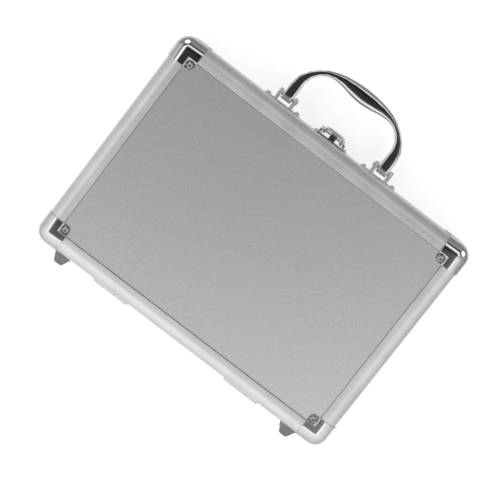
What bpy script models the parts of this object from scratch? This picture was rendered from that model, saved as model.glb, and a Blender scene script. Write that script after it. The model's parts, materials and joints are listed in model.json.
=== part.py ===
"""Slim aluminium art supply case, lying flat on its base half with the lid closed on top.

X runs along the width, the handle and latch are on the -Y side, the hinges and rubber feet on
the +Y side, and +Z is up. The origin is the centre of the bottom of the whole case's bounding
box, handle and feet included. Lengths are in metres.
"""

from math import asin, cos, hypot, pi, radians, sin, sqrt

import bmesh
import bpy
from mathutils import Matrix, Vector

MM = 0.001
GAP = 0.3 * MM                    # clearance between two pieces that touch

# Case
WIDTH = 343 * MM                  # over the side rails
DEPTH = 241 * MM                  # over the front and back rails
HEIGHT = 76 * MM                  # over the corner caps
PARTING_GAP = 0.4 * MM

# Corner caps, pressed steel
SHEET = 0.8 * MM
PROUD = SHEET + GAP               # how far a cap stands out from the rails
CAP_LEG = 27 * MM                 # from the rail's outer wall along each edge
TAB_RIVET = 22.6 * MM             # rivet centre from both outer walls
STEP_TOP = 17.0 * MM              # where the step down to the tab starts, at the cap's face
STEP_FOOT = 18.7 * MM             # and where it ends, at the tab
RIVET_HOLE = 1.9 * MM             # radius, through the tab and the panel

# Rails, extruded aluminium; "in" is measured inward from the outer wall
ROUND = 12.4 * MM                 # radius of the rounded outer edge
RAIL_IN = 17.1 * MM               # inner edge of the visible rail
WALL = 1.6 * MM
LIP = 1.2 * MM                    # thickness of the lip over the panel
SLOT_IN = 11.0 * MM               # bottom of the panel slot
LONG_RAIL_END = 13.5 * MM         # the front and back rails stop this far from the side walls
SHORT_RAIL_END = 17.5 * MM        # the side rails stop this far from the front and back walls
TONGUE = 3.0 * MM                 # height of the base rail's tongue inside the lid
TONGUE_THICK = 1.2 * MM
TONGUE_CLEARANCE = 0.4 * MM       # between the tongue and the lid's wall
TONGUE_ROOT = 7.5 * MM            # how far the tongue's thicker wall runs down the base rail

# Panel, board faced with textured aluminium
PANEL = 2.5 * MM
PANEL_DROP = LIP + GAP            # panel face below the rail's flat

# Lining
LINING = 2.0 * MM
LINING_IN = WALL + GAP
LINING_CHAMFER = 2.4 * MM         # keeps the tray's bottom edge off the rails' channel

# Feet
FOOT_BASE = 9.75 * MM
FOOT_TIP = 5.0 * MM
FOOT_HEIGHT = 11.5 * MM
FOOT_RECESS = 2.4 * MM            # radius of the screw recess
FOOT_RECESS_DEPTH = 4 * MM
FOOT_FROM_SIDE = 34 * MM
FOOT_FROM_PARTING = 12.8 * MM

# Hinges
HINGE_X = 80 * MM
HINGE_LENGTH = 40 * MM
KNUCKLE = 3.2 * MM
HINGE_PIN = 1.5 * MM
LEAF = 1.2 * MM
LEAF_REACH = 16 * MM
PIN_HEAD = 0.8 * MM
AXIS_OUT = KNUCKLE + GAP          # hinge axis beyond the back wall

# Handle and its brackets; "out" is measured from the front wall
HANDLE_SPAN = 116.6 * MM          # between the two legs' centres
HANDLE_REACH = 62.6 * MM
HANDLE_Z = 27 * MM
PIVOT_OUT = 9.4 * MM
LEG_END = 4.9 * MM                # radius of the leg's end round the pivot
PLATE = 1.3 * MM                  # thickness of the bracket, latch and catch plates
PLATE_CORNER = 3 * MM
PLATE_FACE = GAP + PLATE          # face of a plate that lies on the front wall
BRACKET_LENGTH = 41 * MM
BRACKET_WIDTH = 15 * MM
EAR_THICK = 3.7 * MM
EAR_SPACING = 17.3 * MM
EAR_HALF = 4.2 * MM
BRACKET_RIVET = 17.4 * MM
HANDLE_PIN = 2.0 * MM

# Latch
LATCH_WIDTH = 38 * MM
LEVER_WIDTH = 28.4 * MM
LEVER_OUT = 6.2 * MM
LEVER_AXIS = (3.8 * MM, 29 * MM)  # (out, z) of the lever's hinge
LOOP_AXIS = (3.6 * MM, 22 * MM)   # (out, z) of the loop's pivot on the lever
LATCH_PIN = 1.2 * MM
LOOP_WIRE = 1.3 * MM
LOOP_HALF = 9.2 * MM
LOOP_BAR = (10.1 * MM, 47.3 * MM)
HOOK_WIDTH = 6.9 * MM
HOOK_OUT = 8.5 * MM
HOOK_THICK = 2.3 * MM
HOOK_Z = (44 * MM, 51 * MM)
CATCH_Z = (40.5 * MM, 53.5 * MM)  # lower and upper edge of each plate
LATCH_PLATE_Z = (12.8 * MM, 35.6 * MM)
LATCH_RIVET_IN = 2.4 * MM         # rivet centre from the plate's end

HALF_X = WIDTH / 2
HALF_Y = DEPTH / 2
PARTING = HEIGHT / 2
FOOT_REACH = FOOT_HEIGHT + GAP
CENTRE_Y = (HANDLE_REACH - FOOT_REACH) / 2      # puts the origin midway between handle and feet
FRONT = CENTRE_Y - HALF_Y
BACK = CENTRE_Y + HALF_Y
RAIL_HEIGHT = PARTING - PROUD - PARTING_GAP / 2


# Materials

def material(name, colour, roughness, metallic):
    made = bpy.data.materials.new(name)
    made.use_nodes = True
    shader = made.node_tree.nodes["Principled BSDF"]
    shader.inputs["Base Color"].default_value = (*colour, 1)
    shader.inputs["Roughness"].default_value = roughness
    shader.inputs["Metallic"].default_value = metallic
    made.diffuse_color = (*colour, 1)
    return made


# Outlines

def arc(centre, radius, start, end, steps):
    """Points on an arc from start to end, in degrees."""
    angles = [radians(start + (end - start) * i / steps) for i in range(steps + 1)]
    return [(centre[0] + radius * cos(a), centre[1] + radius * sin(a)) for a in angles]


def circle(centre, radius, steps):
    return arc(centre, radius, 0, 360 - 360 / steps, steps - 1)


def rectangle(low_x, low_y, high_x, high_y):
    return [(low_x, low_y), (high_x, low_y), (high_x, high_y), (low_x, high_y)]


def rounded_rectangle(half_x, half_y, radius, steps=4):
    quarters = [(1, 1, 0), (-1, 1, 90), (-1, -1, 180), (1, -1, 270)]
    points = []
    for side_x, side_y, start in quarters:
        centre = (side_x * (half_x - radius), side_y * (half_y - radius))
        points += arc(centre, radius, start, start + 90, steps)
    return points


# Solids

def cleaned(mesh):
    """Welds the mesh's loose caps and turns its faces outward."""
    work = bmesh.new()
    work.from_mesh(mesh)
    bmesh.ops.remove_doubles(work, verts=work.verts, dist=1e-6)
    bmesh.ops.recalc_face_normals(work, faces=work.faces)
    work.to_mesh(mesh)
    work.free()
    return mesh


def mesh_of(data):
    """The mesh of a curve or of an object with modifiers, with the source removed."""
    source = data if isinstance(data, bpy.types.Object) else bpy.data.objects.new("source", data)
    if source.name not in bpy.context.scene.collection.all_objects:
        bpy.context.scene.collection.objects.link(source)
    bpy.context.view_layer.update()
    evaluated = source.evaluated_get(bpy.context.evaluated_depsgraph_get())
    mesh = bpy.data.meshes.new_from_object(evaluated)
    bpy.data.objects.remove(source)
    return cleaned(mesh)


def prism(loops, thickness):
    """A flat outline with its holes, extruded both ways from the XY plane."""
    curve = bpy.data.curves.new("outline", "CURVE")
    curve.dimensions = "2D"
    curve.fill_mode = "BOTH"
    curve.extrude = thickness / 2
    for loop in loops:
        spline = curve.splines.new("POLY")
        spline.points.add(len(loop) - 1)
        for point, (x, y) in zip(spline.points, loop):
            point.co = (x, y, 0, 1)
        spline.use_cyclic_u = True
    return mesh_of(curve)


def wire(points, radius):
    """A round wire along the points, with filled ends."""
    curve = bpy.data.curves.new("wire", "CURVE")
    curve.dimensions = "3D"
    curve.bevel_depth = radius
    curve.bevel_resolution = 2
    curve.use_fill_caps = True
    spline = curve.splines.new("POLY")
    spline.points.add(len(points) - 1)
    for point, place in zip(spline.points, points):
        point.co = (*place, 1)
    return mesh_of(curve)


def turned(profile, steps=16):
    """A solid turned about Z from (radius, z) points that run from its top down its outer side."""
    mesh = bpy.data.meshes.new("profile")
    edges = [(i, i + 1) for i in range(len(profile) - 1)]
    mesh.from_pydata([(radius, 0, z) for radius, z in profile], edges, [])
    source = bpy.data.objects.new("profile", mesh)
    screw = source.modifiers.new("Turn", "SCREW")
    screw.steps = screw.render_steps = steps
    screw.use_merge_vertices = True
    screw.merge_threshold = 1e-6
    return mesh_of(source)


def pin_mesh(radius, length, head_radius, head, both_ends=False):
    """A pin along +Z from the origin, with a head past its far end and perhaps one below its foot."""
    profile = [(0, length + head), (head_radius, length + head), (head_radius, length)]
    profile += [(radius, length), (radius, 0)]
    if both_ends:
        profile += [(head_radius, 0), (head_radius, -head), (0, -head)]
    else:
        profile.append((0, 0))
    return turned(profile, 12)


def box(low, high):
    size = Vector(high) - Vector(low)
    centre = (Vector(high) + Vector(low)) / 2
    place = Matrix.Translation(centre) @ Matrix.Diagonal((*size, 1))
    work = bmesh.new()
    bmesh.ops.create_cube(work, size=1, matrix=place)
    mesh = bpy.data.meshes.new("box")
    work.to_mesh(mesh)
    work.free()
    return mesh


def rod(start, end, radius, steps=16):
    """A cylinder between two points."""
    start, end = Vector(start), Vector(end)
    turn = (end - start).to_track_quat("Z", "Y").to_matrix().to_4x4()
    work = bmesh.new()
    bmesh.ops.create_cone(
        work, cap_ends=True, segments=steps, radius1=radius, radius2=radius,
        depth=(end - start).length, matrix=Matrix.Translation((start + end) / 2) @ turn,
    )
    mesh = bpy.data.meshes.new("rod")
    work.to_mesh(mesh)
    work.free()
    return mesh


def bevelled(mesh, radius, segments, chosen):
    """Rounds the edges whose middle point passes the test."""
    work = bmesh.new()
    work.from_mesh(mesh)
    edges = [edge for edge in work.edges if chosen((edge.verts[0].co + edge.verts[1].co) / 2)]
    bmesh.ops.bevel(
        work, geom=edges, offset=radius, segments=segments, profile=0.5,
        affect="EDGES", clamp_overlap=False,
    )
    work.to_mesh(mesh)
    work.free()
    return mesh


def joined(mesh, others, operation="UNION"):
    """The mesh after an exact Boolean with each of the others."""
    target = bpy.data.objects.new("target", mesh)
    bpy.context.scene.collection.objects.link(target)
    cutters = []
    for other in others:
        cutter = bpy.data.objects.new("cutter", other)
        bpy.context.scene.collection.objects.link(cutter)
        cutters.append(cutter)
        step = target.modifiers.new(operation.title(), "BOOLEAN")
        step.operation = operation
        step.object = cutter
    result = mesh_of(target)
    for cutter in cutters:
        bpy.data.objects.remove(cutter)
    return result


def less(mesh, others):
    return joined(mesh, others, "DIFFERENCE")


def axes(x, y, origin):
    """The matrix whose local X and Y run along x and y, from the origin."""
    x, y = Vector(x).normalized(), Vector(y).normalized()
    return Matrix.Translation(origin) @ Matrix((x, y, x.cross(y))).transposed().to_4x4()


class Case:
    """Places meshes as named objects in the case's collection."""

    def __init__(self):
        self.collection = bpy.data.collections.new("art_supply_case")
        bpy.context.scene.collection.children.link(self.collection)
        self.bodies = {}

    def body(self, name, origin, parent=None):
        """An empty on the body's joint axis, which carries the body's pieces."""
        empty = bpy.data.objects.new(name + "_body", None)
        empty.empty_display_size = 0.02
        self.collection.objects.link(empty)
        if parent:
            empty.parent = self.bodies[parent]
            empty.matrix_parent_inverse = self.bodies[parent].matrix_world.inverted()
        empty.location = origin
        bpy.context.view_layer.update()
        self.bodies[name] = empty

    def add(self, name, mesh, finish, body, place=Matrix.Identity(4)):
        """A piece of the body, which may share its mesh with a piece added before it."""
        piece = bpy.data.objects.new(name, mesh)
        if not mesh.materials:
            mesh.name = name
            mesh.materials.append(finish)
            mesh.shade_smooth()
            mesh.set_sharp_from_angle(angle=radians(35))
        self.collection.objects.link(piece)
        piece.parent = self.bodies[body]
        piece.matrix_parent_inverse = self.bodies[body].matrix_world.inverted()
        piece.matrix_world = place
        return piece


# Rails, panels and corner caps of one half; side is +1 for the lid and -1 for the base

def level(side, drop):
    """The height at a distance in from the half's outer face, at its rails."""
    return PARTING + side * (PARTING - PROUD - drop)


def rail_outline(side):
    """Cross-section of a rail as (distance in from the outer wall, z)."""
    outer = [(RAIL_IN, LIP), (RAIL_IN, GAP), (RAIL_IN - GAP, 0)]
    outer += arc((ROUND, ROUND), ROUND, 270, 180, 8)
    slot_foot = PANEL_DROP + PANEL + GAP
    flange = slot_foot + LIP
    inner_round = ROUND - WALL
    turn = 180 + asin((ROUND - flange) / inner_round) * 180 / pi
    if side > 0:
        rim = [(0, RAIL_HEIGHT), (WALL, RAIL_HEIGHT)]
    else:
        tongue_out = WALL + TONGUE_CLEARANCE
        tongue_in = tongue_out + TONGUE_THICK
        rim = [
            (0, RAIL_HEIGHT),
            (tongue_out, RAIL_HEIGHT),
            (tongue_out, RAIL_HEIGHT + TONGUE),
            (tongue_in, RAIL_HEIGHT + TONGUE),
            (tongue_in, RAIL_HEIGHT - TONGUE_ROOT + WALL),
            (WALL, RAIL_HEIGHT - TONGUE_ROOT),
        ]
    inner = arc((ROUND, ROUND), inner_round, 180, turn, 4)
    channel = [(RAIL_IN, flange), (RAIL_IN, slot_foot), (SLOT_IN, slot_foot), (SLOT_IN, LIP)]
    return [(x, level(side, drop)) for x, drop in outer + rim + inner + channel]


def add_rails(case, body, side, finish):
    outline = rail_outline(side)
    long_rail = prism([outline], WIDTH - 2 * LONG_RAIL_END)
    short_rail = prism([outline], DEPTH - 2 * SHORT_RAIL_END)
    rails = [
        ("front", long_rail, (0, 1, 0), (0, FRONT, 0)),
        ("back", long_rail, (0, -1, 0), (0, BACK, 0)),
        ("left", short_rail, (1, 0, 0), (-HALF_X, CENTRE_Y, 0)),
        ("right", short_rail, (-1, 0, 0), (HALF_X, CENTRE_Y, 0)),
    ]
    for name, mesh, inward, origin in rails:
        case.add(f"{body}_rail_{name}", mesh, finish, body, axes(inward, (0, 0, 1), origin))


def corners():
    """The name and the signs of x and y of each corner of the case."""
    return [
        ("front_left", -1, -1), ("front_right", 1, -1),
        ("back_left", -1, 1), ("back_right", 1, 1),
    ]


def add_panel(case, body, side, mesh, finish):
    middle = level(side, PANEL_DROP + PANEL / 2)
    case.add(f"{body}_panel", mesh, finish, body, Matrix.Translation((0, CENTRE_Y, middle)))


def panel_mesh():
    edge = SLOT_IN + GAP
    outline = rectangle(edge - HALF_X, edge - HALF_Y, HALF_X - edge, HALF_Y - edge)
    holes = [
        circle((x * (HALF_X - TAB_RIVET), y * (HALF_Y - TAB_RIVET)), RIVET_HOLE, 12)
        for _, x, y in corners()
    ]
    return prism([outline, *holes], PANEL)


def cap_mesh():
    """A corner cap: its corner at the origin, its legs along +X and +Y, and its face up.

    The rails' outer walls are at x = 0 and y = 0, and the rails' flat is at z = 0.
    """
    foot = -RAIL_HEIGHT
    tab_top = -PANEL_DROP + GAP + SHEET
    close = 0.01 * MM

    def rounded_corner(offset, reach, bottom, segments):
        mesh = box((-offset, -offset, bottom), (reach, reach, offset))

        def at_corner(middle):
            on_outside = (middle.x < close - offset, middle.y < close - offset)
            return sum(on_outside) + (middle.z > offset - close) == 2

        return bevelled(mesh, ROUND + offset, segments, at_corner)

    shell = less(
        rounded_corner(PROUD, CAP_LEG, foot, 10),
        [rounded_corner(GAP, CAP_LEG + ROUND, foot - ROUND, 6)],
    )
    tab_low = RAIL_IN + GAP
    tab = box((tab_low, tab_low, tab_top - SHEET), (CAP_LEG, CAP_LEG, GAP + SHEET / 4))
    far = CAP_LEG - close
    tab = bevelled(tab, CAP_LEG - TAB_RIVET, 5, lambda middle: middle.x > far and middle.y > far)
    over = 1 * MM
    lean = (STEP_FOOT - STEP_TOP) * (PROUD + over - tab_top) / (PROUD - tab_top)
    well = box((STEP_FOOT, STEP_FOOT, tab_top), (CAP_LEG + over, CAP_LEG + over, PROUD + over))
    for corner in well.vertices:
        if corner.co.z > PROUD:
            corner.co.x -= lean if corner.co.x < CAP_LEG else 0
            corner.co.y -= lean if corner.co.y < CAP_LEG else 0
    below, above = (TAB_RIVET, TAB_RIVET, -ROUND), (TAB_RIVET, TAB_RIVET, ROUND)
    return less(joined(shell, [tab]), [well, rod(below, above, RIVET_HOLE, 12)])


def add_caps(case, body, side, cap, rivet, chrome):
    tab_top = level(side, PANEL_DROP - GAP - SHEET)
    for name, x, y in corners():
        corner = (x * HALF_X, CENTRE_Y + y * HALF_Y, level(side, 0))
        # The cap is the same either way round, so the base's caps are the lid's turned over.
        swap = x * y * side > 0
        along_x = (-x, 0, 0) if swap else (0, -y, 0)
        along_y = (0, -y, 0) if swap else (-x, 0, 0)
        case.add(f"{body}_corner_{name}", cap, chrome, body, axes(along_x, along_y, corner))
        spot = (x * (HALF_X - TAB_RIVET), CENTRE_Y + y * (HALF_Y - TAB_RIVET), tab_top)
        upright = axes((1, 0, 0), (0, side, 0), spot)
        case.add(f"{body}_corner_rivet_{name}", rivet, chrome, body, upright)


def corner_rivet_mesh():
    """A blind rivet through the tab and the panel; its seat is the tab's face at z = 0."""
    shank = RIVET_HOLE - GAP
    seat = 0.2 * MM
    tail = -(SHEET + GAP + PANEL + GAP)
    tail_end = tail - 1 * MM
    dimple = [(0, 0.55), (1.0, 0.55), (1.5, 1.05), (2.3, 1.25), (3.1, 0.85)]
    profile = [(radius * MM, z * MM) for radius, z in dimple]
    profile += [(3.55 * MM, seat), (shank, seat), (shank, tail)]
    profile += [(2.5 * MM, tail), (2.2 * MM, tail_end), (0, tail_end)]
    return turned(profile)


def add_lining(case, body, side, finish):
    """A soft tray that lines the half, open toward the parting plane."""
    flange = PANEL_DROP + PANEL + GAP + LIP
    under_tongue = TONGUE + 1 * MM
    rim = RAIL_HEIGHT - (under_tongue if side > 0 else TONGUE_ROOT + GAP)
    plan = ROUND - LINING_IN
    rings = [(LINING_IN + LINING_CHAMFER, flange + GAP), (LINING_IN, ROUND), (LINING_IN, rim)]
    work = bmesh.new()
    made = []
    for inset, drop in rings:
        points = rounded_rectangle(HALF_X - inset, HALF_Y - inset, plan)
        made.append([work.verts.new((x, y + CENTRE_Y, level(side, drop))) for x, y in points])
    work.faces.new(made[0])
    for lower, upper in zip(made, made[1:]):
        for i, corner in enumerate(lower):
            work.faces.new((lower[i - 1], corner, upper[i], upper[i - 1]))
    bmesh.ops.remove_doubles(work, verts=work.verts, dist=1e-6)
    bmesh.ops.recalc_face_normals(work, faces=work.faces)
    mesh = bpy.data.meshes.new("lining")
    work.to_mesh(mesh)
    work.free()
    lining = case.add(f"{body}_lining", mesh, finish, body)
    shell = lining.modifiers.new("Shell", "SOLIDIFY")
    shell.thickness = LINING
    shell.offset = -1
    shell.use_even_offset = True


# Feet and hinges on the back wall

def foot_mesh(side):
    """A rubber foot pointing along +Z, with a screw recess in its tip.

    Its base is cut back where it laps the corner cap, which is on the given side of it in X.
    """
    edge = 1.0 * MM
    skirt = 0.8 * MM
    recess_floor = FOOT_HEIGHT - FOOT_RECESS_DEPTH
    profile = [(0, recess_floor), (FOOT_RECESS, recess_floor), (FOOT_RECESS, FOOT_HEIGHT)]
    profile += arc((FOOT_TIP - edge, FOOT_HEIGHT - edge), edge, 90, 22, 3)
    profile += [(FOOT_BASE, skirt), (FOOT_BASE, 0), (0, 0)]
    lap = side * (FOOT_FROM_SIDE - CAP_LEG - GAP)
    low, high = sorted((lap, side * 2 * FOOT_BASE))
    return less(turned(profile, 20), [box((low, -FOOT_BASE, -PROUD), (high, FOOT_BASE, PROUD))])


def add_feet(case, body, side, feet, finish):
    for name, x in (("left", -1), ("right", 1)):
        spot = (x * (HALF_X - FOOT_FROM_SIDE), BACK + GAP, PARTING + side * FOOT_FROM_PARTING)
        case.add(f"{body}_foot_{name}", feet[x], finish, body, axes((1, 0, 0), (0, 0, -1), spot))


def leaf_mesh(knuckles, side):
    """A hinge leaf round the X axis, on the side of the parting plane that it is fixed to.

    knuckles are the (start, end) stretches of X that this leaf's knuckles take. The leaf's face
    crosses the knuckles a little inside their edge, so that the two join.
    """
    inner = 0.1 * MM - KNUCKLE
    clear = KNUCKLE + 2 * GAP
    overlap = 1 * MM
    low, high = sorted((side * clear, side * LEAF_REACH))
    plate = box((-HINGE_LENGTH / 2, inner, low), (HINGE_LENGTH / 2, inner + LEAF, high))
    parts = []
    bores = []
    for start, end in knuckles:
        low, high = sorted((0, side * (clear + overlap)))
        parts.append(box((start, inner, low), (end, inner + LEAF, high)))
        parts.append(rod((start, 0, 0), (end, 0, 0), KNUCKLE))
        bores.append(rod((start - overlap, 0, 0), (end + overlap, 0, 0), HINGE_PIN + GAP))
    return less(joined(plate, parts), bores)


def add_hinges(case, steel):
    third = HINGE_LENGTH / 6
    outer = [(-HINGE_LENGTH / 2, -third - GAP), (third + GAP, HINGE_LENGTH / 2)]
    base_leaf = leaf_mesh(outer, -1)
    lid_leaf = leaf_mesh([(-third, third)], 1)
    half = HINGE_LENGTH / 2 + GAP
    pin = pin_mesh(HINGE_PIN, 2 * half, HINGE_PIN + PIN_HEAD, PIN_HEAD, both_ends=True)
    pin.transform(axes((0, 1, 0), (0, 0, 1), (-half, 0, 0)))
    for name, x in (("left", -1), ("right", 1)):
        place = Matrix.Translation((x * HINGE_X, BACK + AXIS_OUT, PARTING))
        case.add(f"hinge_base_leaf_{name}", base_leaf, steel, "base", place)
        case.add(f"hinge_lid_leaf_{name}", lid_leaf, steel, "lid", place)
        case.add(f"hinge_pin_{name}", pin, steel, "base", place)


# Handle and brackets on the front wall

def handle_stations():
    """(x, out, width in the handle's plane, depth across it) from the leg's end to the middle."""
    leg = HANDLE_SPAN / 2 / MM
    pivot = PIVOT_OUT / MM
    end = LEG_END / MM
    stations = []
    for turn in (80, 60, 40, 20):
        stations.append((leg, pivot - end * sin(radians(turn)), 11.2, 2 * end * cos(radians(turn))))
    stations += [
        (leg, pivot + 2, 11.6, 9.6), (leg, 21, 11.4, 9.6), (57.5, 31, 9.9, 9.8),
        (53.6, 39.6, 7.4, 10.2), (47.6, 46.3, 6.2, 10.8), (40.6, 51.0, 6.2, 11.4),
        (32.0, 53.6, 8.4, 12), (23.3, 54.6, 11.3, 12.6), (12, 54.3, 15.2, 13),
    ]
    width = 16.8
    stations.append((0, HANDLE_REACH / MM - width / 2, width, 13.2))
    return [tuple(value * MM for value in station) for station in stations]


def handle_mesh():
    """A cast handle in its upright place: a chain of rounded sections, mirrored at the middle."""
    stations = handle_stations()
    ring_points = 20
    leg_square, grip_square = 0.36, 0.62    # below 1, a section is squarer than an ellipse
    work = bmesh.new()
    rings = []
    for i, (x, out, width, depth) in enumerate(stations):
        before = stations[max(i - 1, 0)]
        after = stations[min(i + 1, len(stations) - 1)]
        run = Vector((after[0] - before[0], 0, after[1] - before[1])).normalized()
        if i == len(stations) - 1:
            run = Vector((-1, 0, 0))
        across = Vector((run.z, 0, -run.x))
        toward_grip = min(1, 2.5 * (1 - 2 * x / HANDLE_SPAN))
        square = leg_square + (grip_square - leg_square) * toward_grip
        ring = []
        for step in range(ring_points):
            turn = 2 * pi * (step + 0.5) / ring_points
            u = abs(cos(turn)) ** square * (1 if cos(turn) > 0 else -1)
            v = abs(sin(turn)) ** square * (1 if sin(turn) > 0 else -1)
            place = Vector((x, 0, out)) + across * (u * width / 2) + Vector((0, v * depth / 2, 0))
            ring.append(work.verts.new(place))
        rings.append(ring)
    work.faces.new(rings[0])
    for lower, upper in zip(rings, rings[1:]):
        for i, corner in enumerate(lower):
            work.faces.new((lower[i - 1], corner, upper[i], upper[i - 1]))
    bmesh.ops.recalc_face_normals(work, faces=work.faces)
    mesh = bpy.data.meshes.new("handle")
    work.to_mesh(mesh)
    work.free()
    source = bpy.data.objects.new("handle", mesh)
    mirror = source.modifiers.new("Both halves", "MIRROR")
    mirror.merge_threshold = 1e-6
    whole = mesh_of(source)
    near, far = HANDLE_SPAN / 2 - EAR_SPACING, HANDLE_SPAN / 2 + EAR_SPACING
    bores = [
        rod((side * near, 0, PIVOT_OUT), (side * far, 0, PIVOT_OUT), HANDLE_PIN + GAP)
        for side in (-1, 1)
    ]
    return less(whole, bores)


def bracket_mesh():
    """A bracket plate with two ears, standing on the XY plane with its length along X."""
    length, width = BRACKET_LENGTH / 2, BRACKET_WIDTH / 2
    middle = GAP + PLATE / 2
    plate = prism([rounded_rectangle(length, width, PLATE_CORNER)], PLATE)
    plate.transform(Matrix.Translation((0, 0, middle)))
    ear = [(-EAR_HALF, middle), (EAR_HALF, middle)]
    ear += arc((0, PIVOT_OUT), EAR_HALF, 0, 180, 8)
    parts = []
    for side in (-1, 1):
        lug = prism([ear], EAR_THICK)
        lug.transform(axes((0, 1, 0), (0, 0, 1), (side * EAR_SPACING / 2, 0, 0)))
        parts.append(lug)
    reach = EAR_SPACING
    bore = rod((-reach, 0, PIVOT_OUT), (reach, 0, PIVOT_OUT), HANDLE_PIN + GAP)
    return less(joined(plate, parts), [bore])


def dome_mesh(radius, height):
    """A domed rivet head on the face of a plate that lies on the XY plane."""
    seat = PLATE_FACE + GAP
    curve = (radius**2 + height**2) / (2 * height)
    points = []
    for i in range(4):
        r = radius * i / 4
        points.append((r, seat + sqrt(curve**2 - r**2) - curve + height))
    points += [(radius, seat + 0.15 * MM), (radius - 0.2 * MM, seat), (0, seat)]
    return turned(points, 14)


def on_front(x, z):
    """A place on the front wall whose local Z points out of it and local X along the case."""
    return axes((1, 0, 0), (0, 0, 1), (x, FRONT, z))


def add_handle(case, chrome):
    handle = handle_mesh()
    case.add("handle", handle, chrome, "handle", on_front(0, HANDLE_Z))
    bracket = bracket_mesh()
    rivet = dome_mesh(2.9 * MM, 1.7 * MM)
    half = EAR_SPACING / 2 + EAR_THICK / 2
    pin = pin_mesh(HANDLE_PIN, 2 * half + GAP, HANDLE_PIN + 0.4 * MM, 0.7 * MM)
    for name, side in (("left", -1), ("right", 1)):
        x = side * HANDLE_SPAN / 2
        case.add(f"handle_bracket_{name}", bracket, chrome, "base", on_front(x, HANDLE_Z))
        # The pin's head is on the ear nearer the latch.
        place = axes((0, 0, side), (0, 1, 0), (x + side * half, FRONT - PIVOT_OUT, HANDLE_Z))
        case.add(f"handle_pin_{name}", pin, chrome, "base", place)
        for end, way in (("outer", 1), ("inner", -1)):
            spot = on_front(x + way * side * BRACKET_RIVET, HANDLE_Z)
            case.add(f"bracket_rivet_{name}_{end}", rivet, chrome, "base", spot)


# Latch: a draw latch whose loop rests against the outside of the catch's hook

def along_front(loops, thickness, x=0):
    """A piece cut to an outline in (out, z) and extruded along the case."""
    mesh = prism(loops, thickness)
    mesh.transform(axes((0, -1, 0), (0, 0, 1), (x, FRONT, 0)))
    return mesh


def plate_on_front(low_z, high_z):
    half_height = (high_z - low_z) / 2
    mesh = prism([rounded_rectangle(LATCH_WIDTH / 2, half_height, PLATE_CORNER)], PLATE)
    middle = Matrix.Translation((0, 0, GAP + PLATE / 2))
    mesh.transform(on_front(0, (low_z + high_z) / 2) @ middle)
    return mesh


def catch_mesh():
    """The catch on the lid: a plate with a hook in its middle that opens upward."""
    seat = GAP + PLATE / 2
    web, tip = HOOK_Z
    corner = 1 * MM
    finger = HOOK_OUT - HOOK_THICK
    hook = [
        (seat, web), (HOOK_OUT - corner, web), (HOOK_OUT, web + corner),
        (HOOK_OUT, tip - corner), (HOOK_OUT - corner, tip), (finger, tip),
        (finger, web + HOOK_THICK), (seat, web + HOOK_THICK),
    ]
    return joined(plate_on_front(*CATCH_Z), [along_front([hook], HOOK_WIDTH)])


def latch_plate_mesh():
    """The latch's plate on the base, with an ear each side for the lever's pins."""
    out, z = LEVER_AXIS
    seat = GAP + PLATE / 2
    ear_round = 2.2 * MM
    ear_foot = 3 * MM                 # half the ear's length where it meets the plate
    ear = [(seat, z - ear_foot), (out, z - ear_round)] + arc((out, z), ear_round, -60, 60, 4)
    ear += [(out, z + ear_round), (seat, z + ear_foot)]
    x = LEVER_WIDTH / 2 - PLATE - GAP - PLATE / 2
    ears = [along_front([ear], PLATE, side * x) for side in (-1, 1)]
    bore = rod((-LATCH_WIDTH, FRONT - out, z), (LATCH_WIDTH, FRONT - out, z), LATCH_PIN + GAP, 12)
    return less(joined(plate_on_front(*LATCH_PLATE_Z), ears), [bore])


def lever_mesh():
    """The lever: a pressed channel, open toward the case, with a lifted tip to pull."""
    out, z = LEVER_AXIS
    near = PLATE_FACE + GAP
    foot = 13.2 * MM
    web_top = 19 * MM
    round_top = out - near
    tip_drop = 2.4 * MM               # the pull tip's reach below the lever's foot
    tip_in, tip_out = LEVER_OUT + 0.9 * MM, LEVER_OUT + 2.1 * MM
    side_outline = [(near, foot), (LEVER_OUT, foot), (LEVER_OUT, z), (LEVER_OUT - MM, z + round_top)]
    side_outline += arc((out, z), round_top, 90, 180, 5)
    x = LEVER_WIDTH / 2 - PLATE / 2
    flanges = [along_front([side_outline], PLATE, side * x) for side in (-1, 1)]
    web = [
        (LEVER_OUT - PLATE, foot), (tip_in, foot - tip_drop), (tip_out, foot - tip_drop),
        (LEVER_OUT, foot + 1 * MM), (LEVER_OUT, web_top), (LEVER_OUT - PLATE, web_top),
    ]
    body = joined(along_front([web], LEVER_WIDTH), flanges)
    loop_out, loop_z = LOOP_AXIS
    bores = [
        rod((-LATCH_WIDTH, FRONT - out, z), (LATCH_WIDTH, FRONT - out, z), LATCH_PIN + GAP, 12),
        rod((-LATCH_WIDTH, FRONT - loop_out, loop_z), (LATCH_WIDTH, FRONT - loop_out, loop_z),
            LOOP_WIRE + GAP, 12),
    ]
    return less(body, bores)


def loop_mesh():
    """The wire loop: feet in the lever's sides, legs up across the joint, and a bar on top."""
    out, z = LOOP_AXIS
    bar_out, bar_z = LOOP_BAR
    length = hypot(bar_out - out, bar_z - z)
    bend = 2 * MM
    foot = LEVER_WIDTH / 2 + 0.2 * MM
    half = [(foot, 0)] + arc((LOOP_HALF + bend, bend), bend, 270, 180, 4)
    half += arc((LOOP_HALF - bend, length - bend), bend, 0, 90, 4)
    flat = half + [(-x, y) for x, y in reversed(half)]
    tilt = axes((1, 0, 0), (0, -(bar_out - out), bar_z - z), (0, FRONT - out, z))
    return wire([tilt @ Vector((x, y, 0)) for x, y in flat], LOOP_WIRE)


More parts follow.
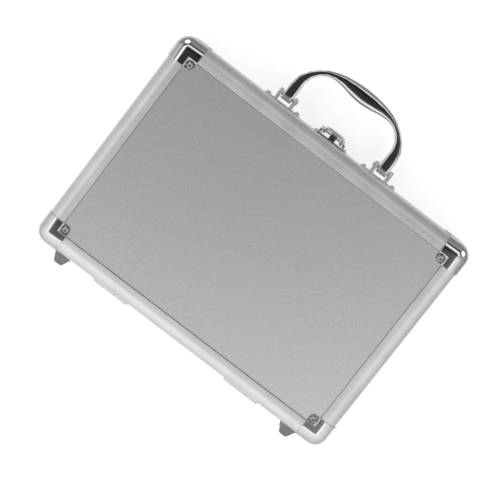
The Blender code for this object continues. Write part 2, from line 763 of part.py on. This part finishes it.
def add_latch(case, chrome):
    case.add("latch_catch", catch_mesh(), chrome, "lid")
    case.add("latch_plate", latch_plate_mesh(), chrome, "base")
    case.add("latch_lever", lever_mesh(), chrome, "latch_lever")
    case.add("latch_loop", loop_mesh(), chrome, "latch_loop")
    rivet = dome_mesh(2.0 * MM, 1.0 * MM)
    out, z = LEVER_AXIS
    start = LEVER_WIDTH / 2 - 2 * PLATE - 2 * GAP
    pin = pin_mesh(LATCH_PIN, LEVER_WIDTH / 2 + GAP - start, LATCH_PIN + 0.6 * MM, 0.7 * MM)
    for name, side in (("left", -1), ("right", 1)):
        place = axes((0, 0, -side), (0, 1, 0), (side * start, FRONT - out, z))
        case.add(f"latch_pin_{name}", pin, chrome, "base", place)
        spot = side * (LATCH_WIDTH / 2 - LATCH_RIVET_IN)
        catch_spot = on_front(spot, sum(CATCH_Z) / 2)
        plate_spot = on_front(spot, sum(LATCH_PLATE_Z) / 2)
        case.add(f"catch_rivet_{name}", rivet, chrome, "lid", catch_spot)
        case.add(f"latch_rivet_{name}", rivet, chrome, "base", plate_spot)


def build():
    for old in list(bpy.data.objects):
        bpy.data.objects.remove(old)
    anodised = material("anodised_aluminium", (0.72, 0.72, 0.72), 0.35, 1)
    textured = material("textured_aluminium", (0.62, 0.62, 0.62), 0.5, 1)
    chrome = material("chrome", (0.8, 0.8, 0.8), 0.08, 1)
    steel = material("zinc_plated_steel", (0.6, 0.6, 0.58), 0.3, 1)
    rubber = material("grey_rubber", (0.2, 0.2, 0.2), 0.8, 0)
    foam = material("black_lining", (0.03, 0.03, 0.03), 0.95, 0)

    case = Case()
    case.body("base", (0, 0, 0))
    case.body("lid", (0, BACK + AXIS_OUT, PARTING), "base")
    case.body("handle", (0, FRONT - PIVOT_OUT, HANDLE_Z), "base")
    case.body("latch_lever", (0, FRONT - LEVER_AXIS[0], LEVER_AXIS[1]), "base")
    case.body("latch_loop", (0, FRONT - LOOP_AXIS[0], LOOP_AXIS[1]), "latch_lever")

    panel = panel_mesh()
    cap = cap_mesh()
    rivet = corner_rivet_mesh()
    feet = {side: foot_mesh(side) for side in (-1, 1)}
    for body, side in (("base", -1), ("lid", 1)):
        add_rails(case, body, side, anodised)
        add_panel(case, body, side, panel, textured)
        add_caps(case, body, side, cap, rivet, chrome)
        add_lining(case, body, side, foam)
        add_feet(case, body, side, feet, rubber)
    add_hinges(case, steel)
    add_handle(case, chrome)
    add_latch(case, chrome)


build()
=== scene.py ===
"""Looks of the slim aluminium art supply case: finishes, small fixings, floor, light, camera.

Lengths are in metres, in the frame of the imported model: the case lies on its base half, the
handle and latch are on the -Y side, and the hinges and feet on the +Y side.
"""

import json
from math import cos, pi, radians, sin

import bmesh
import bpy
from mathutils import Matrix, Vector


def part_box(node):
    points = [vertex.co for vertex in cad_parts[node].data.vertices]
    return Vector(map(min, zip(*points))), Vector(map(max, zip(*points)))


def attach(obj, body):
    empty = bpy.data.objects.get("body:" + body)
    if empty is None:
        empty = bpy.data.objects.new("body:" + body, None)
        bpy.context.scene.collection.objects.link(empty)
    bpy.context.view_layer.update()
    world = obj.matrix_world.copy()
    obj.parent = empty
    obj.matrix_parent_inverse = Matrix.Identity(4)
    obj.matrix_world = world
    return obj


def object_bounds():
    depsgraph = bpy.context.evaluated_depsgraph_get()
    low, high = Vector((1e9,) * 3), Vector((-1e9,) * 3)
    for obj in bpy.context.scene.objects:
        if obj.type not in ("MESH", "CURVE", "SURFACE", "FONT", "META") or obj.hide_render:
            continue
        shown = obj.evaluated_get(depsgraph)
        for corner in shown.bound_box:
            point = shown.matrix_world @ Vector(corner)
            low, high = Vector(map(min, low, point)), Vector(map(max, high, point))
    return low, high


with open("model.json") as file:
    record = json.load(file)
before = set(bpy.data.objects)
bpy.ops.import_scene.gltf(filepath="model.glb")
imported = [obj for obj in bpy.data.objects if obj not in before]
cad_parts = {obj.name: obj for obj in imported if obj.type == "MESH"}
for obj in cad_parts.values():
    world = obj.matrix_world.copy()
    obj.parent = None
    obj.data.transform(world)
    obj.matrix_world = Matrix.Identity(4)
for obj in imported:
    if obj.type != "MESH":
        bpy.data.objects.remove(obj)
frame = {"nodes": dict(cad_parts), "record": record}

MM = 0.001
SAME_PLACE = 1e-6                 # points nearer than this are merged
CAD_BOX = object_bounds()

# Fixings that are made here
HINGE_RIVET = 2.3 * MM            # radius of a hinge leaf's rivet head
HINGE_RIVET_RISE = 1.1 * MM
RIVET_FROM_END = 2.4 * HINGE_RIVET
RIVET_FROM_EDGE = 2 * HINGE_RIVET
LEAF_FACE = 1.3 * MM              # leaf's outer face beyond the knuckle's inner edge
FOOT_SCREW = 2.1 * MM             # radius of its head
FOOT_SCREW_RISE = 1.2 * MM
CROSS_LENGTH = 1.3 * FOOT_SCREW   # each arm of the cross in a screw's head
CROSS_WIDTH = 0.28 * FOOT_SCREW
FOOT_RECESS_DEPTH = 4 * MM
HEAD_EDGE = 0.25                  # straight edge of a head, as a share of its rise
HEAD_SMOOTH = 40                  # degrees between faces that are shaded as one

# Edges: how far each metal's sharp edges are eased, and which edges count as sharp
EASED = {"chrome": 0.18 * MM, "zinc_plated_steel": 0.12 * MM, "anodised_aluminium": 0.10 * MM}
SHARP_EDGE = 38                   # degrees

# Panel facing
PEBBLES = 820                     # pebbles to a metre
PEBBLE_WANDER = 1.2 * MM          # how far their outlines stray from plain cells
PAINTED_GAP_SHADE_WIDTH = 0.8 * MM              # painted shade: width of the dark line on the panel along the rails, standing in for the shadow in the gap under their lips

# Camera: above the lid, leaning toward the handle, with the case turned in the picture
CAMERA_TILT = 6.04                # degrees, as the next two are
CAMERA_SIDE = 2.16
CAMERA_ROLL = 37.7
CAMERA_DISTANCE = 1.5
CAMERA_LENS = 111.1               # millimetres
CAMERA_AIM = (-0.0031, 0.0351, 0.038)
CAMERA_FAR = 20                   # nothing past this is drawn

# Studio walls, as (position, grey) stops over the directions from the case
BRIGHT_SIDE = (0.05, 0.99, 0.1)
WALLS = (                         # from the side opposite to the bright side itself
    (0, 0.46), (0.42, 0.50), (0.49, 0.56), (0.53, 0.94), (0.6, 0.96), (0.78, 0.96), (0.9, 1.0),
    (1, 1.1),
)
OPENING = (0.09, -0.10, 1)        # the middle of the dark opening over the case
OPENING_FADE = (                  # by the cosine of the angle from its middle
    (0, 1.0), (0.70, 1.05), (0.885, 1.4), (0.915, 0.32), (0.95, 0.2), (0.975, 0.045),
)
HANDLE_WAY = (0.3, -0.95, 0)      # the middle of the banded walls beyond the handle
HANDLE_WAY_FADE = (0.05, 0.25)    # cosines between which the bands come in
HANDLE_SIDE = (                   # bands, from straight down to straight up
    (0, 1.6), (0.22, 1.6), (0.30, 1.0), (0.42, 0.85), (0.50, 0.72), (0.66, 0.85), (0.72, 0.9),
    (0.76, 0.2), (0.85, 0.2), (0.89, 2.0), (0.955, 2.0), (0.965, 0.7), (1, 0.7),
)
LOW_WALLS = (                     # on every side, from straight down to straight up
    (0, 1.0), (0.2, 0.85), (0.3, 0.65), (0.42, 0.65), (0.55, 0.80), (0.66, 0.82), (0.78, 0.98),
)

# Two round lights, which put the small highlights on the caps' corners, and the floor
LIGHTS = {"sparkle_left": (-0.95, -0.95, 0.4), "sparkle_right": (0.95, -0.95, 0.4)}
LIGHT_SIZE = 0.8
LIGHT_POWER = 2.1                 # watts
FLOOR_REACH = 40                  # its far edge is out of sight of every view
FLOOR_DROP = 0.2 * MM             # below the case, so that the two don't share a plane
FLOOR_GLOW = 0.54

WHITE = (1, 1, 1, 1)


# Nodes

def grey(value):
    return (value, value, value)


class Nodes:
    """Short ways to add shader nodes to a tree."""

    def __init__(self, tree):
        self.tree = tree

    def node(self, kind, inputs=(), **settings):
        """A new node. Inputs go by name or number, and each is a value or another's output."""
        made = self.tree.nodes.new(kind)
        for name, value in settings.items():
            setattr(made, name, value)
        for name, value in dict(inputs).items():
            if isinstance(value, bpy.types.NodeSocket):
                self.tree.links.new(value, made.inputs[name])
            else:
                made.inputs[name].default_value = value
        return made

    def math(self, operation, *values):
        return self.node("ShaderNodeMath", enumerate(values), operation=operation).outputs["Value"]

    def spread(self, value, low, high, start=0.3, end=0.7):
        """The value, taken from start..end to low..high."""
        inputs = {"Value": value, "From Min": start, "From Max": end, "To Min": low, "To Max": high}
        return self.node("ShaderNodeMapRange", inputs).outputs["Result"]

    def ramp(self, value, stops):
        """The colour that a value from 0 to 1 stands for, from (position, colour) stops."""
        made = self.node("ShaderNodeValToRGB", {"Fac": value})
        first, last = made.color_ramp.elements
        first.position, first.color = stops[0][0], (*stops[0][1], 1)
        last.position, last.color = stops[-1][0], (*stops[-1][1], 1)
        for position, colour in stops[1:-1]:
            made.color_ramp.elements.new(position).color = (*colour, 1)
        return made.outputs["Color"]


class Finish(Nodes):
    """A Principled material and the nodes that vary it over the surface.

    colour and roughness are its plain values, which hold where no nodes vary them.
    """

    def __init__(self, name, colour, roughness, metallic=0.0):
        self.material = bpy.data.materials.new(name)
        self.material.use_nodes = True
        super().__init__(self.material.node_tree)
        self.shader = self.tree.nodes["Principled BSDF"]
        self.shader.inputs["Metallic"].default_value = metallic
        self.shader.inputs["Base Color"].default_value = (*colour, 1)
        self.shader.inputs["Roughness"].default_value = roughness
        self.place = self.node("ShaderNodeTexCoord").outputs["Object"]

    def noise(self, scale, detail=2.0, stretch=(1, 1, 1), roughness=0.5):
        mapping = self.node("ShaderNodeMapping", {"Vector": self.place, "Scale": stretch})
        inputs = {
            "Vector": mapping.outputs["Vector"], "Scale": scale,
            "Detail": detail, "Roughness": roughness,
        }
        return self.node("ShaderNodeTexNoise", inputs).outputs["Fac"]

    def cells(self, scale, smoothness, place=None):
        inputs = {"Vector": place or self.place, "Scale": scale, "Smoothness": smoothness}
        return self.node("ShaderNodeTexVoronoi", inputs, feature="SMOOTH_F1").outputs["Distance"]

    def wandering_place(self, scale, reach):
        """The place on the surface, moved about by up to reach."""
        wander = self.node("ShaderNodeTexNoise", {"Vector": self.place, "Scale": scale, "Detail": 2.0})
        inputs = enumerate((wander.outputs["Color"], (reach, reach, reach), self.place))
        moved = self.node("ShaderNodeVectorMath", inputs, operation="MULTIPLY_ADD")
        return moved.outputs["Vector"]

    def beyond(self, coordinate, middle, half):
        """How far a coordinate is past half on either side of the middle; negative inside."""
        off = self.math("ABSOLUTE", self.math("SUBTRACT", coordinate, middle))
        return self.math("SUBTRACT", off, half)

    def colour(self, value, low, high):
        """Base colour between two colours as the value goes from 0 to 1."""
        self.tree.links.new(self.ramp(value, ((0, low), (1, high))), self.shader.inputs["Base Color"])

    def roughness(self, value):
        self.tree.links.new(value, self.shader.inputs["Roughness"])

    def bump(self, height, distance, strength):
        inputs = {"Height": height, "Distance": distance, "Strength": strength}
        made = self.node("ShaderNodeBump", inputs)
        self.tree.links.new(made.outputs["Normal"], self.shader.inputs["Normal"])


# Finishes

def anodised(name, lengthwise):
    """Satin clear anodising over drawn lines that run along the rail."""
    finish = Finish(name, grey(0.86), 0.3, 1.0)
    lines = finish.noise(2600, 3, lengthwise)
    clouds = finish.noise(35, 3)
    finish.colour(finish.spread(clouds, 0, 1), grey(0.80), grey(0.88))
    satin = finish.math("ADD", finish.spread(lines, 0.42, 0.50), finish.spread(clouds, 0, 0.03))
    finish.roughness(satin)
    finish.bump(lines, 0.004 * MM, 0.6)
    return finish.material


def pebbled(rail_opening):
    """Aluminium facing pressed with a fine, soft pebble, with painted shade in a dark line where it
    goes under the rails.

    rail_opening is the (half x, half y, middle y) of the rails' inner edge.
    """
    finish = Finish("pebbled_aluminium", grey(0.68), 0.42, 1.0)
    pebbles = finish.cells(PEBBLES, 0.7, finish.wandering_place(420, PEBBLE_WANDER))
    grain = finish.noise(2400, 2)
    half_x, half_y, middle_y = rail_opening
    split = finish.node("ShaderNodeSeparateXYZ", {"Vector": finish.place})
    past_x = finish.beyond(split.outputs["X"], 0, half_x)
    past_y = finish.beyond(split.outputs["Y"], middle_y, half_y)
    edge = finish.math("MAXIMUM", past_x, past_y)
    # Painted shade: the panel's colour darkens toward a dark grey in a line along the rails' inner
    # edge, standing in for the shadow in the gap under their lips.
    outside_painted_shade = finish.spread(edge, 1, 0, -PAINTED_GAP_SHADE_WIDTH, -0.4 * PAINTED_GAP_SHADE_WIDTH)
    tone = finish.spread(pebbles, 1, 0.85, 0.1, 0.6)
    finish.colour(finish.math("MULTIPLY", tone, outside_painted_shade), grey(0.27), grey(0.97))
    finish.roughness(finish.spread(grain, 0.31, 0.41))
    height = finish.math("ADD", finish.spread(pebbles, 1, 0, 0, 0.7), finish.spread(grain, 0, 0.12))
    finish.bump(height, 0.10 * MM, 0.5)
    return finish.material


def plate(name, dull, bright, gloss):
    """Chrome plate over pressed or cast metal, with faint handling marks.

    dull and bright are the greys that the marks vary it between, and gloss its least and most
    roughness.
    """
    finish = Finish(name, grey(bright), gloss[0], 1.0)
    waves = finish.noise(90, 2)
    smudges = finish.noise(160, 5, roughness=0.65)
    finish.colour(finish.spread(smudges, 0, 1), grey(dull), grey(bright))
    finish.roughness(finish.spread(smudges, *gloss, 0.4, 0.75))
    finish.bump(waves, 0.05 * MM, 0.35)
    return finish.material


def zinc():
    """Dull bright zinc plate on stamped steel."""
    finish = Finish("zinc_plate", (0.66, 0.66, 0.64), 0.3, 1.0)
    spangle = finish.cells(650, 0.2)
    marks = finish.noise(900, 4, (1, 1, 0.12))
    finish.colour(finish.spread(spangle, 0, 1, 0, 1), (0.60, 0.60, 0.585), (0.74, 0.74, 0.72))
    finish.roughness(finish.spread(marks, 0.20, 0.40))
    finish.bump(marks, 0.01 * MM, 0.6)
    return finish.material


def rubber():
    """Matte moulded rubber with a fine skin and dust in its pores."""
    finish = Finish("moulded_rubber", grey(0.16), 0.7)
    skin = finish.noise(2200, 3)
    dust = finish.noise(260, 4)
    finish.colour(finish.spread(dust, 0, 1), grey(0.19), grey(0.27))
    finish.roughness(finish.spread(skin, 0.55, 0.8))
    finish.bump(skin, 0.04 * MM, 0.7)
    return finish.material


def felt():
    """Black felt: a short nap over a soft, uneven backing."""
    finish = Finish("black_felt", grey(0.02), 0.95)
    nap = finish.noise(3200, 4, roughness=0.7)
    lie = finish.noise(60, 3)
    shade = finish.math("ADD", finish.spread(nap, 0, 0.85), finish.spread(lie, 0, 0.15))
    finish.colour(shade, grey(0.010), grey(0.040))
    finish.bump(nap, 0.25 * MM, 0.9)
    finish.shader.inputs["Sheen Weight"].default_value = 0.35
    finish.shader.inputs["Sheen Roughness"].default_value = 0.4
    return finish.material


def lid_opening():
    """(half x, half y, middle y) of the opening that the lid's rails leave for its panel."""
    left_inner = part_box("lid_rail_left")[1][0]
    front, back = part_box("lid_rail_front")[1][1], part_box("lid_rail_back")[0][1]
    return abs(left_inner), (back - front) / 2, (back + front) / 2


def ease_edges(node, width):
    """Takes the sharpness off a metal piece's edges and keeps its flat faces flat in reflections."""
    weld = node.modifiers.new("Weld", "WELD")
    weld.merge_threshold = SAME_PLACE
    bevel = node.modifiers.new("Ease", "BEVEL")
    bevel.width = width
    bevel.segments = 2
    bevel.limit_method = "ANGLE"
    bevel.angle_limit = radians(SHARP_EDGE)
    bevel.use_clamp_overlap = True
    shading = node.modifiers.new("Shading", "WEIGHTED_NORMAL")
    shading.keep_sharp = False
    shading.weight = 80


def finish_nodes(zinc_finish):
    """Gives every CAD node its finish, and eases the edges of the metal ones."""
    along_x = anodised("anodised_along_x", (0.02, 1, 1))
    along_y = anodised("anodised_along_y", (1, 0.02, 1))
    satin = plate("satin_chrome", 0.86, 0.93, (0.44, 0.54))
    worn = plate("worn_rivet_plate", 0.34, 0.48, (0.08, 0.18))
    by_slot = {
        "textured_aluminium": pebbled(lid_opening()),
        "chrome": plate("bright_chrome", 0.68, 0.76, (0.05, 0.12)),
        "zinc_plated_steel": zinc_finish,
        "grey_rubber": rubber(),
        "black_lining": felt(),
    }
    slots = {part["node"]: part["material_slot"] for part in frame["record"]["subparts"]}
    for name, node in frame["nodes"].items():
        slot = slots[name]
        if slot == "anodised_aluminium":
            finish = along_x if name.endswith(("front", "back")) else along_y
        elif "corner_rivet" in name:
            finish = worn
        elif "handle_bracket" in name:
            finish = satin
        else:
            finish = by_slot[slot]
        node.data.materials.clear()
        node.data.materials.append(finish)
        if slot in EASED:
            ease_edges(node, EASED[slot])


# Small fixings

def turned(name, profile, steps=24):
    """A closed solid turned about Z from (radius, z) points that start and end on the axis."""
    work = bmesh.new()
    points = [work.verts.new((radius, 0, z)) for radius, z in profile]
    edges = [work.edges.new(pair) for pair in zip(points, points[1:])]
    bmesh.ops.spin(
        work, geom=points + edges, axis=(0, 0, 1), cent=(0, 0, 0), angle=2 * pi, steps=steps,
        use_merge=True,
    )
    bmesh.ops.remove_doubles(work, verts=work.verts, dist=SAME_PLACE)
    bmesh.ops.recalc_face_normals(work, faces=work.faces)
    mesh = bpy.data.meshes.new(name)
    work.to_mesh(mesh)
    work.free()
    mesh.shade_smooth()
    mesh.set_sharp_from_angle(angle=radians(HEAD_SMOOTH))
    return mesh


def dome(name, radius, rise, steps=6):
    """A low domed head on a short straight edge, standing on the XY plane."""
    edge = HEAD_EDGE * rise
    crown = [
        (radius * sin(pi / 2 * i / steps), edge + (rise - edge) * cos(pi / 2 * i / steps))
        for i in range(steps + 1)
    ]
    return turned(name, crown + [(radius, 0), (0, 0)])


def fasten(name, mesh, x, y, z, body):
    """Puts a head on a hinge leaf or in a foot, facing away from the back wall."""
    piece = bpy.data.objects.new(name, mesh)
    piece.matrix_world = Matrix.Translation((x, y, z)) @ Matrix.Rotation(-pi / 2, 4, "X")
    bpy.context.scene.collection.objects.link(piece)
    bpy.context.view_layer.update()
    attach(piece, body)


def add_hinge_rivets(finish):
    """Three rivet heads along each hinge leaf."""
    head = dome("hinge_rivet", HINGE_RIVET, HINGE_RIVET_RISE)
    head.materials.append(finish)
    for body in ("base", "lid"):
        for side in ("left", "right"):
            low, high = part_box(f"hinge_{body}_leaf_{side}")
            middle = (low[0] + high[0]) / 2
            spacing = (high[0] - low[0]) / 2 - RIVET_FROM_END
            z = low[2] + RIVET_FROM_EDGE if body == "base" else high[2] - RIVET_FROM_EDGE
            for i, x in enumerate((middle - spacing, middle, middle + spacing)):
                fasten(f"hinge_{body}_rivet_{side}_{i}", head, x, low[1] + LEAF_FACE, z, body)


def cross_cutter(turn):
    """One arm of the cross in a screw head."""
    arm = Matrix.Diagonal((CROSS_LENGTH, CROSS_WIDTH, FOOT_SCREW_RISE, 1))
    place = Matrix.Translation((0, 0, FOOT_SCREW_RISE)) @ Matrix.Rotation(turn, 4, "Z") @ arm
    work = bmesh.new()
    bmesh.ops.create_cube(work, size=1, matrix=place)
    mesh = bpy.data.meshes.new("cross")
    work.to_mesh(mesh)
    work.free()
    return bpy.data.objects.new("cross", mesh)


def screw_head(name):
    """A pan head with a cross cut into it."""
    head = bpy.data.objects.new(name, dome(name, FOOT_SCREW, FOOT_SCREW_RISE))
    cutters = [cross_cutter(turn) for turn in (0, pi / 2)]
    for made in (head, *cutters):
        bpy.context.scene.collection.objects.link(made)
    for cutter in cutters:
        cut = head.modifiers.new("Cross", "BOOLEAN")
        cut.operation = "DIFFERENCE"
        cut.object = cutter
    bpy.context.view_layer.update()
    evaluated = head.evaluated_get(bpy.context.evaluated_depsgraph_get())
    mesh = bpy.data.meshes.new_from_object(evaluated)
    for used in (head, *cutters):
        bpy.data.objects.remove(used)
    return mesh


def add_foot_screws(finish):
    """A screw at the bottom of each foot's recess."""
    head = screw_head("foot_screw")
    head.materials.clear()
    head.materials.append(finish)
    for body in ("base", "lid"):
        for side in ("left", "right"):
            low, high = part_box(f"{body}_foot_{side}")
            x, z = (low[0] + high[0]) / 2, (low[2] + high[2]) / 2
            fasten(f"{body}_foot_screw_{side}", head, x, high[1] - FOOT_RECESS_DEPTH, z, body)


# Studio

def add_floor():
    """A wide sheet of white paper."""
    work = bmesh.new()
    bmesh.ops.create_grid(work, x_segments=1, y_segments=1, size=FLOOR_REACH)
    mesh = bpy.data.meshes.new("floor")
    work.to_mesh(mesh)
    work.free()
    paper = Finish("white_paper", grey(0.9), 0.9)
    paper.colour(paper.spread(paper.noise(300, 3), 0, 1), grey(0.89), grey(0.91))
    paper.shader.inputs["Emission Color"].default_value = WHITE
    paper.shader.inputs["Emission Strength"].default_value = FLOOR_GLOW
    mesh.materials.append(paper.material)
    floor = bpy.data.objects.new("floor", mesh)
    floor.location.z = -FLOOR_DROP
    floor.visible_glossy = False      # the metal shows the studio's walls, and not a blank sheet
    bpy.context.scene.collection.objects.link(floor)


class Studio(Nodes):
    """The surround that the metal reflects, as a grey for each direction from the case."""

    def __init__(self, tree):
        super().__init__(tree)
        self.way = self.node("ShaderNodeTexCoord").outputs["Generated"]

    def toward(self, direction):
        """The cosine of the angle from a direction."""
        inputs = enumerate((self.way, Vector(direction).normalized()))
        return self.node("ShaderNodeVectorMath", inputs, operation="DOT_PRODUCT").outputs["Value"]

    def greys(self, value, stops):
        return self.ramp(value, [(position, grey(level)) for position, level in stops])

    def dimmed(self, first, second, amount=1.0):
        """The first grey times the second, by the amount."""
        inputs = {"A": first, "B": second, "Factor": amount}
        made = self.node("ShaderNodeMix", inputs, data_type="RGBA", blend_type="MULTIPLY")
        return made.outputs["Result"]


def add_surround():
    """Pale walls, brighter on one side, with a dark opening over the case and a white backdrop."""
    world = bpy.data.worlds.new("studio")
    bpy.context.scene.world = world
    world.use_nodes = True
    studio = Studio(world.node_tree)
    height = studio.spread(studio.toward((0, 0, 1)), 0, 1, -1, 1)
    brightness = studio.spread(studio.toward(BRIGHT_SIDE), 0, 1, -1, 1)
    near_handle = studio.spread(studio.toward(HANDLE_WAY), 0, 1, *HANDLE_WAY_FADE)
    walls = studio.greys(brightness, WALLS)
    walls = studio.dimmed(walls, studio.greys(studio.toward(OPENING), OPENING_FADE))
    walls = studio.dimmed(walls, studio.greys(height, HANDLE_SIDE), near_handle)
    walls = studio.dimmed(walls, studio.greys(height, LOW_WALLS))
    reflected = studio.tree.nodes["Background"]
    studio.tree.links.new(walls, reflected.inputs["Color"])

    # Behind the case itself there is plain white paper, as under it.
    backdrop = studio.node("ShaderNodeBackground", {"Color": WHITE})
    straight = studio.node("ShaderNodeLightPath").outputs["Is Camera Ray"]
    choice = enumerate((straight, reflected.outputs[0], backdrop.outputs[0]))
    chosen = studio.node("ShaderNodeMixShader", choice)
    studio.tree.links.new(chosen.outputs[0], studio.tree.nodes["World Output"].inputs["Surface"])


def add_lights():
    centre = (Vector(CAD_BOX[0]) + Vector(CAD_BOX[1])) / 2
    for name, offset in LIGHTS.items():
        light = bpy.data.lights.new(name, "AREA")
        light.shape = "DISK"
        light.size = LIGHT_SIZE
        light.energy = LIGHT_POWER
        lamp = bpy.data.objects.new(name, light)
        lamp.location = centre + Vector(offset)
        lamp.rotation_euler = (-Vector(offset)).to_track_quat("-Z", "Y").to_euler()
        bpy.context.scene.collection.objects.link(lamp)


def add_camera():
    tilt, side, roll = radians(CAMERA_TILT), radians(CAMERA_SIDE), radians(CAMERA_ROLL)
    back = Vector((sin(side) * cos(tilt), -sin(tilt), cos(tilt) * cos(side))).normalized()
    toward_handle = Vector((0, -1, 0))
    up = (toward_handle - back * toward_handle.dot(back)).normalized()
    right = up.cross(back)
    turned_right = right * cos(roll) + up * sin(roll)
    turned_up = up * cos(roll) - right * sin(roll)
    data = bpy.data.cameras.new("camera")
    data.lens = CAMERA_LENS
    data.clip_end = CAMERA_FAR
    camera = bpy.data.objects.new("camera", data)
    turn = Matrix((turned_right, turned_up, back)).transposed().to_4x4()
    camera.matrix_world = Matrix.Translation(Vector(CAMERA_AIM) + back * CAMERA_DISTANCE) @ turn
    bpy.context.scene.collection.objects.link(camera)
    bpy.context.scene.camera = camera


zinc_plate = zinc()
finish_nodes(zinc_plate)
add_hinge_rivets(zinc_plate)
add_foot_screws(zinc_plate)
add_floor()
add_surround()
add_lights()
add_camera()
bpy.context.scene.view_settings.view_transform = "Standard"     # so that white paper is white
